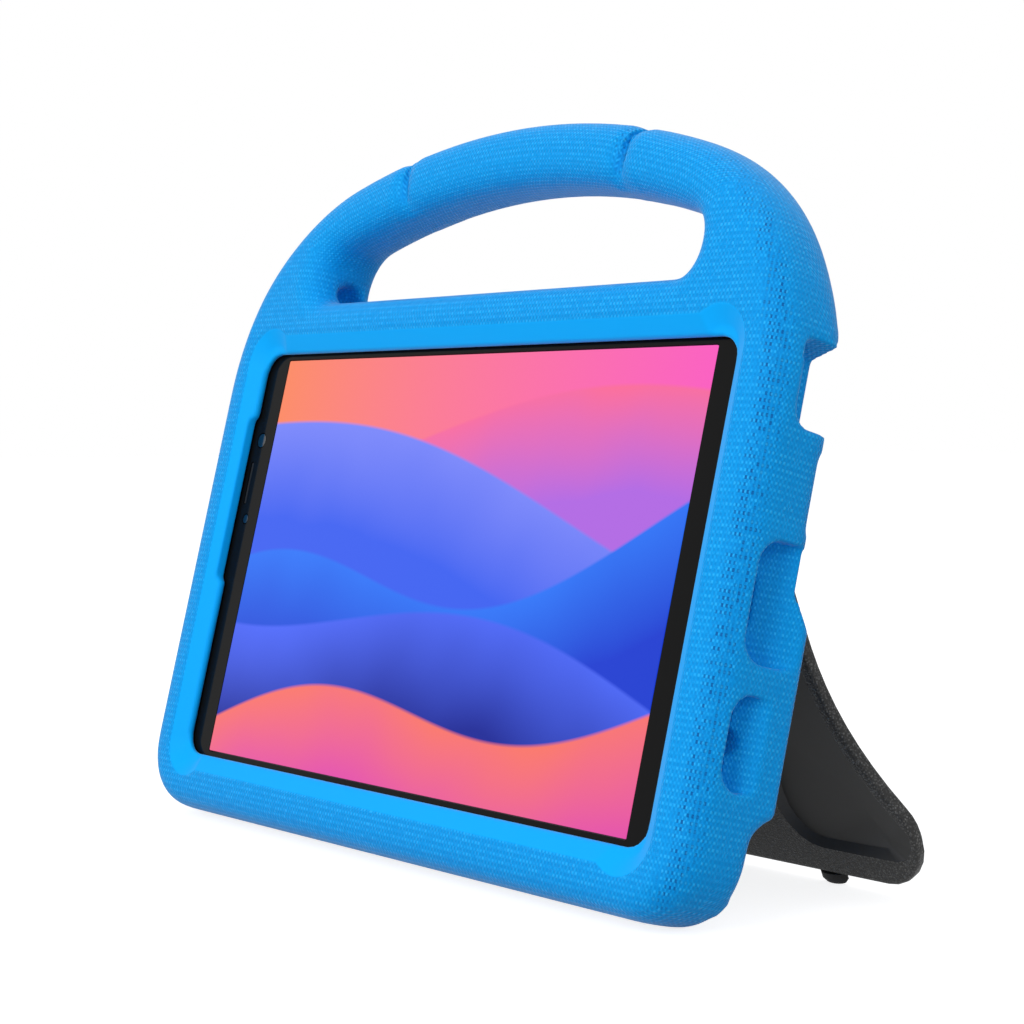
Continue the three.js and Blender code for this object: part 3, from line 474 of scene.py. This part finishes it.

# Two narrow grooves mark off the grip, with painted shade along their bottom, its edge torn.
slant = math_node(tree, "MULTIPLY_ADD", z, -CREASE_TILT, CREASE_Z * CREASE_TILT - CREASE_X)
away = math_node(tree, "ADD", across, slant)
torn = noise(tree, place[0], 900.0)
ragged = math_node(tree, "MULTIPLY_ADD", torn, 2 * CREASE_TORN, -CREASE_TORN)
away = math_node(tree, "ABSOLUTE", math_node(tree, "ADD", away, ragged))
painted_crease_shade = math_node(tree, "MULTIPLY_ADD", away, -1 / CREASE_LINE, 1.3, clamp=True)
painted_crease_shade = math_node(tree, "MULTIPLY", painted_crease_shade, inside(tree, z, CREASE_FROM, 0.2, 0.004))
in_front = math_node(tree, "MULTIPLY_ADD", ny, -4.0, 0.2, clamp=True)
painted_crease_shade = math_node(tree, "MULTIPLY", painted_crease_shade, in_front)

# Colour: painted shade deep in the pits, darker painted shade in the short grooves and creases,
# and a painted glint pale on the tall pips.
# Painted shade: the pits are mixed towards the deeper blue, as if less light reached them.
painted_pit_shade = math_node(tree, "MULTIPLY", pits, math_node(tree, "MULTIPLY_ADD", edge, 0.2, 0.8))
colour = mix_colour(tree, painted_pit_shade, BLUE, BLUE_DEEP)
# Painted shade: the short grooves on the rounded edges are painted darker still.
colour = mix_colour(tree, math_node(tree, "MULTIPLY", slits, 0.75), colour, BLUE_SLIT)
# Painted highlight: the tallest pips are painted paler, as glints.
glint = math_node(tree, "MULTIPLY_ADD", pips, 1.7, -0.6, clamp=True)
glint = math_node(tree, "MULTIPLY", math_node(tree, "MULTIPLY", glint, grainy), 0.5)
colour = mix_colour(tree, glint, colour, BLUE_PALE)
# Painted shade: a dark line along the bottom of each crease.
colour = mix_colour(tree, math_node(tree, "MULTIPLY", painted_crease_shade, 0.7), colour, BLUE_CREASE)
put(tree, shader.inputs["Base Color"], colour)
shader.inputs["Roughness"].default_value = 0.6
shader.inputs["Specular IOR Level"].default_value = 0.1
shader.inputs["Sheen Weight"].default_value = 0.22
shader.inputs["Sheen Roughness"].default_value = 0.3
bump(tree, shader, height, GRAIN_DEEP, 0.8)
foam.data.materials.clear()
foam.data.materials.append(foam_look)
print("foam material nodes:", len(tree.nodes))

# %% [markdown]
# The leg and the hinge are moulded in black plastic with a grain of small knobs. The leg has
# it on its rim and its back, while the sunk panel that faces the case is smooth. The sloped walls
# of that panel are painted lighter than its floor, a painted highlight. A copy of the solid piece
# is merged, and its edges are marked sharp only where the surface really turns.

# %% Smooth shading that keeps real edges
def shade(piece, sharp=35.0):
    """Smooth shading, with an edge kept sharp where its faces meet at more than that angle."""
    bm = bmesh.new()
    bm.from_mesh(piece.data)
    for edge in bm.edges:
        turn = edge.calc_face_angle(math.pi) if len(edge.link_faces) == 2 else math.pi
        edge.smooth = turn < math.radians(sharp)
    for face in bm.faces:
        face.smooth = True
    bm.to_mesh(piece.data)
    bm.free()


def dress(piece, material):
    piece.data.materials.clear()
    piece.data.materials.append(material)


leg = copy_of("stand_leg", "stand_leg_moulded", "stand")
shade(leg, 28.0)
print("leg faces:", len(leg.data.polygons))

# %% Black grained plastic
LEG_FLOOR = tone("1A1A1A")
LEG_SLOPE_HIGHLIGHT = tone("3C3C3C")
LEG_SPECK = tone("7A7A78")
LEG_FRONT = -0.0016      # front face of the leg in its own frame
PANEL_DEEP = 0.0018      # depth of the sunk panel
LEG_WAIST = 0.084        # the leg's rim lies beyond this on both sides
KNOBS = 2100.0           # knobs per metre
KNOB_HIGH = 0.00016


def grained_plastic(name, matrix, with_panel):
    """Black plastic with small round knobs, some paler than others."""
    material, tree, shader = new_material(name)
    place, facing = turned(tree, matrix)
    _, x, y, z = place
    _, nx, ny, nz = facing
    cells = tree.nodes.new("ShaderNodeTexVoronoi")
    cells.inputs["Scale"].default_value = KNOBS
    tree.links.new(place[0], cells.inputs["Vector"])
    split = tree.nodes.new("ShaderNodeSeparateColor")
    tree.links.new(cells.outputs["Color"], split.inputs[0])
    knobs = math_node(tree, "MULTIPLY_ADD", cells.outputs["Distance"], -1.7, 1.1, clamp=True)
    amount = 1.0
    if with_panel:
        rim = math_node(tree, "SUBTRACT", math_node(tree, "ABSOLUTE", x), LEG_WAIST)
        rim = math_node(tree, "MULTIPLY", rim, 3000.0, clamp=True)
        outwards = math_node(tree, "MULTIPLY", nx, math_node(tree, "SIGN", x))
        outwards = math_node(tree, "MULTIPLY", outwards, rim)
        floor_at = LEG_FRONT + PANEL_DEEP
        panel = inside(tree, y, LEG_FRONT + 0.00002, floor_at + 0.0002, 0.00005)
        panel = math_node(tree, "MULTIPLY", panel, inside(tree, outwards, -2.0, 0.15, 0.02))
        panel = math_node(tree, "MULTIPLY", panel, inside(tree, nz, -0.2, 2.0, 0.02))
        panel = math_node(tree, "MULTIPLY", panel, inside(tree, ny, -2.0, -0.3, 0.02))
        amount = math_node(tree, "SUBTRACT", 1.0, panel)
    height = math_node(tree, "MULTIPLY", knobs, amount)
    luck = math_node(tree, "MULTIPLY_ADD", split.outputs[0], 1.5, -0.3, clamp=True)
    pale = math_node(tree, "MULTIPLY", math_node(tree, "MULTIPLY", height, luck), 0.8)
    pale = math_node(tree, "MULTIPLY_ADD", amount, 0.06, pale, clamp=True)
    # Painted highlight: on the sunk panel the sloped walls get a lighter grey than the level
    # floor.
    level = math_node(tree, "MULTIPLY_ADD", ny, -40.0, -38.8, clamp=True)
    ground = mix_colour(tree, level, LEG_SLOPE_HIGHLIGHT, LEG_FLOOR)
    ground = mix_colour(tree, amount, ground, LEG_FLOOR)
    put(tree, shader.inputs["Base Color"], mix_colour(tree, pale, ground, LEG_SPECK))
    shader.inputs["Roughness"].default_value = 0.5
    shader.inputs["Specular IOR Level"].default_value = 0.25
    bump(tree, shader, height, KNOB_HIGH, 0.7)
    return material


leg_look = grained_plastic("black_grained_plastic", to_leg, True)
dress(leg, leg_look)
hinge_look = grained_plastic("black_hinge_plastic", to_case, False)
hinge_piece = copy_of("hinge_plate", "hinge_plate_moulded")
shade(hinge_piece, 30.0)
dress(hinge_piece, hinge_look)
print("leg and hinge dressed")

# %% [markdown]
# Rubber pegs under the leg keep it from sliding. Rivets, the hinge pin and the plate inside
# are metal. Turned metal shows fine rings and brushed metal fine lines, so both get a noise
# that is stretched along the way the metal was worked.

# %% Rubber and metal
def plain_finish(name, colour, roughness, metal=0.0, specular=0.5, grit=0.0002, scale=1400.0,
                 stretch=(1, 1, 1), variation=0.15):
    """A finish of one colour, a little darker here and there, with fine grit or brush marks."""
    material, tree, shader = new_material(name)
    coordinates = tree.nodes.new("ShaderNodeTexCoord")
    mapping = tree.nodes.new("ShaderNodeMapping")
    mapping.inputs["Scale"].default_value = stretch
    tree.links.new(coordinates.outputs["Object"], mapping.inputs["Vector"])
    fine = noise(tree, mapping.outputs[0], scale, 2.0)
    broad = noise(tree, mapping.outputs[0], scale / 20, 1.0)
    darker = tuple(c * (1 - variation) for c in colour[:3]) + (1.0,)
    put(tree, shader.inputs["Base Color"], mix_colour(tree, broad, darker, colour))
    low = max(0.02, roughness - 0.06)
    put(tree, shader.inputs["Roughness"], math_node(tree, "MULTIPLY_ADD", fine, 0.12, low))
    shader.inputs["Metallic"].default_value = metal
    shader.inputs["Specular IOR Level"].default_value = specular
    if grit:
        bump(tree, shader, fine, grit, 0.4)
    return material


rubber = plain_finish("black_rubber", tone("232324"), 0.75, specular=0.3)
steel = plain_finish("satin_steel", tone("B4B8BC"), 0.34, 1.0, grit=0.00003, stretch=(0.05, 1, 1))
grey_metal = plain_finish("dark_anodised_metal", tone("3B3D42"), 0.42, 0.6, grit=0.00003)
black_plastic = plain_finish("black_plastic", tone("1B1B1C"), 0.55, specular=0.3)
for side in ("left", "right"):
    foot = copy_of(f"stand_foot_{side}", f"stand_foot_{side}_rubber", "stand")
    shade(foot, 40.0)
    dress(foot, rubber)
pin = copy_of("hinge_pin", "hinge_pin_steel", "stand")
shade(pin)
dress(pin, steel)
RIVET_ROUND = 0.0002
RIM_TURN = 1.2
for i in range(1, 5):
    rivet = copy_of(f"hinge_rivet_{i}", f"hinge_rivet_{i}_steel")
    bm = bmesh.new()
    bm.from_mesh(rivet.data)
    rims = [e for e in bm.edges if len(e.link_faces) == 2 and e.calc_face_angle() > RIM_TURN]
    bmesh.ops.bevel(bm, geom=rims, offset=RIVET_ROUND, segments=2, profile=0.5, affect="EDGES",
                    material=-1, clamp_overlap=True)
    bm.to_mesh(rivet.data)
    bm.free()
    shade(rivet)
    dress(rivet, steel)
plate = copy_of("hinge_inner_plate", "hinge_inner_plate_metal")
shade(plate)
dress(plate, grey_metal)
print("rubber and metal pieces done")

# %% [markdown]
# The tablet has a black glass front with a printed frame, a metal shell and small openings.
# Its glass is nearly black and very smooth. Reflections on it are kept low, because the frame
# under the glass should read as deep black beside the picture.

# %% Tablet shell, glass and small parts
glass_look = plain_finish("black_front_glass", tone("0F0F0F"), 0.1, specular=0.06, grit=0,
                          variation=0.05)
lens_look = plain_finish("lens_glass", tone("0D0D10"), 0.08, specular=0.8, grit=0)
shell_look = plain_finish("tablet_shell_metal", tone("3B3D42"), 0.4, 0.55, grit=0.00002)
small = {
    "tablet_housing": ("tablet_housing_metal", "tablet_shell", shell_look),
    "tablet_front_glass": ("tablet_front_glass_black", "front_glass", glass_look),
    "front_camera_lens": ("front_camera_lens_glass", "lens_glass", lens_look),
    "front_light_sensor": ("front_light_sensor_glass", "lens_glass", lens_look),
    "earpiece_mesh": ("earpiece_mesh_fine", "black_plastic", black_plastic),
    "rear_camera_ring": ("rear_camera_ring_metal", "tablet_shell", shell_look),
    "rear_camera_glass": ("rear_camera_glass_lens", "lens_glass", lens_look),
    "charging_socket": ("charging_socket_steel", "steel", steel),
    "headphone_socket": ("headphone_socket_plastic", "black_plastic", black_plastic),
}
for node, (name, slot, material) in small.items():
    piece = copy_of(node, name)
    shade(piece)
    dress(piece, material)
print("tablet pieces dressed:", len(small))

# %% [markdown]
# The two keys are small metal bars. A bar starts as a cube, is scaled to its size, and all its
# edges are rounded with a bevel. Each key rides on its own body, because it can be pressed.

# %% Keys
KEY_DEEP = 0.0024
KEY_HIGH = 0.0017
KEY_ROUND = 0.00045


def key(node, body):
    """A rounded bar in the place of a solid key, on the key's own body."""
    low, high = (Vector(p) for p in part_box(node))
    middle = (low + high) / 2
    width = high.x - low.x
    bm = bmesh.new()
    bmesh.ops.create_cube(bm, size=1.0)
    bmesh.ops.scale(bm, vec=(width, KEY_DEEP, KEY_HIGH), verts=bm.verts)
    bmesh.ops.bevel(bm, geom=bm.edges[:], offset=KEY_ROUND, segments=3, profile=0.5,
                    affect="EDGES", material=-1)
    bmesh.ops.rotate(bm, matrix=Matrix.Rotation(-LEAN, 3, "X"), verts=bm.verts)
    bmesh.ops.translate(bm, vec=middle, verts=bm.verts)
    mesh = bpy.data.meshes.new(node + "_bar")
    bm.to_mesh(mesh)
    bm.free()
    piece = bpy.data.objects.new(node + "_bar", mesh)
    bpy.context.collection.objects.link(piece)
    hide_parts(node)
    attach(piece, body)
    shade(piece, 60.0)
    dress(piece, shell_look)
    return piece


keys = [key("volume_key", "volume_button"), key("power_key", "power_button")]
print("keys:", [k.name for k in keys])

# %% [markdown]
# The screen is lit, so its material gives off light by itself. The picture is an abstract one:
# soft hills of colour, one in front of the other, from navy and blue to pink, coral and orange.
# Each hill is a sine curve, and its colour deepens below the crest.

# %% Screen picture
HALF_W = 0.0861    # half the width and half the height of the lit area
HALF_H = 0.0538
picture, tree, shader = new_material("lit_picture")
place, _ = turned(tree, to_case)
_, x, _, z = place
u = math_node(tree, "MULTIPLY", x, 1 / HALF_W)
v = math_node(tree, "MULTIPLY", z, 1 / HALF_H)
soft = noise(tree, place[0], 26.0, 1.5)
sky = mix_colour(tree, math_node(tree, "MULTIPLY_ADD", u, 0.5, 0.5, clamp=True),
                 tone("FF8A62"), tone("FF5FC4"))
HILLS = [
    # height, swing, waves, shift, slope, crest colour, deep colour
    (0.62, 0.16, 2.1, 0.4, 0.10, "FF6E9E", "B56BE8"),
    (0.36, 0.20, 1.7, 2.2, -0.22, "7E8BFF", "3C63F5"),
    (0.02, 0.24, 2.6, 4.0, 0.26, "2F7BFF", "1B3FD6"),
    (-0.34, 0.18, 2.2, 0.9, -0.16, "4E6CFF", "14259B"),
    (-0.66, 0.15, 3.0, 3.1, 0.18, "FF7A6B", "E64BB4"),
]
colour = sky
for level, swing, waves, shift, slope, crest, deep in HILLS:
    bend = math_node(tree, "SINE", math_node(tree, "MULTIPLY_ADD", u, waves, shift))
    ramp = math_node(tree, "MULTIPLY_ADD", u, slope, level)
    line = math_node(tree, "MULTIPLY_ADD", bend, swing, ramp)
    below = math_node(tree, "SUBTRACT", line, v)
    mask = math_node(tree, "MULTIPLY_ADD", below, 55.0, 0.5, clamp=True)
    depth = math_node(tree, "MULTIPLY_ADD", soft, 0.5, math_node(tree, "MULTIPLY", below, 1.9))
    fade = math_node(tree, "SUBTRACT", depth, 0.2, clamp=True)
    colour = mix_colour(tree, mask, colour, mix_colour(tree, fade, tone(crest), tone(deep)))
shader.inputs["Base Color"].default_value = (0.0, 0.0, 0.0, 1.0)
put(tree, shader.inputs["Emission Color"], colour)
shader.inputs["Emission Strength"].default_value = 0.95
shader.inputs["Roughness"].default_value = 0.2
shader.inputs["Specular IOR Level"].default_value = 0.1
display = copy_of("tablet_display", "tablet_display_lit")
shade(display)
dress(display, picture)
print("hills:", len(HILLS))

# %% [markdown]
# A studio with plain soft light: a large lamp in front, one at the side and one above, a pale
# floor, and a pale world that the camera and the reflections see as white, while it lights the
# object only gently.

# %% Lamps
LAMP_AIM = Vector((0.0, 0.0, 0.09))
LAMPS = [
    # name, place, diameter and power
    ("front_lamp", (0.25, -1.6, 0.75), 1.3, 15.8),
    ("side_lamp", (1.5, -0.55, 0.9), 1.0, 4.5),
    ("top_lamp", (-0.3, 0.3, 1.7), 1.2, 5.0),
]


def lamp(name, at, size, power):
    """A round area lamp that shines at the middle of the case."""
    data = bpy.data.lights.new(name, "AREA")
    data.shape = "DISK"
    data.size = size
    data.energy = power
    holder = bpy.data.objects.new(name, data)
    holder.location = at
    aim = LAMP_AIM - Vector(at)
    holder.rotation_euler = aim.to_track_quat("-Z", "Y").to_euler()
    bpy.context.collection.objects.link(holder)


for row in LAMPS:
    lamp(*row)
print("lamps:", len(LAMPS))

# %% World and floor
WHITE = (1, 1, 1, 1)
BLACK = (0, 0, 0, 1)
WORLD_LIGHT = (0.52, 0.52, 0.53, 1)
FLOOR_LIGHT = 0.82
world = bpy.data.worlds.new("studio")
world.use_nodes = True
bpy.context.scene.world = world
tree = world.node_tree
background = tree.nodes["Background"]
rays = tree.nodes.new("ShaderNodeLightPath")
seen = math_node(tree, "MAXIMUM", rays.outputs["Is Camera Ray"], rays.outputs["Is Glossy Ray"])
seen = math_node(tree, "MAXIMUM", seen, rays.outputs["Is Transmission Ray"])
put(tree, background.inputs["Color"], mix_colour(tree, seen, WORLD_LIGHT, WHITE))

bm = bmesh.new()
bmesh.ops.create_grid(bm, x_segments=1, y_segments=1, size=6.0)
floor_mesh = bpy.data.meshes.new("floor")
bm.to_mesh(floor_mesh)
bm.free()
floor = bpy.data.objects.new("floor", floor_mesh)
bpy.context.collection.objects.link(floor)
floor_look, tree, shader = new_material("pale_floor")
rays = tree.nodes.new("ShaderNodeLightPath")
seen = math_node(tree, "MAXIMUM", rays.outputs["Is Camera Ray"], rays.outputs["Is Glossy Ray"])
shader.inputs["Base Color"].default_value = (0.5, 0.5, 0.5, 1)
shader.inputs["Roughness"].default_value = 0.9
shader.inputs["Specular IOR Level"].default_value = 0.0
put(tree, shader.inputs["Emission Color"], mix_colour(tree, seen, BLACK, WHITE))
shader.inputs["Emission Strength"].default_value = FLOOR_LIGHT
dress(floor, floor_look)
print("floor and world ready")
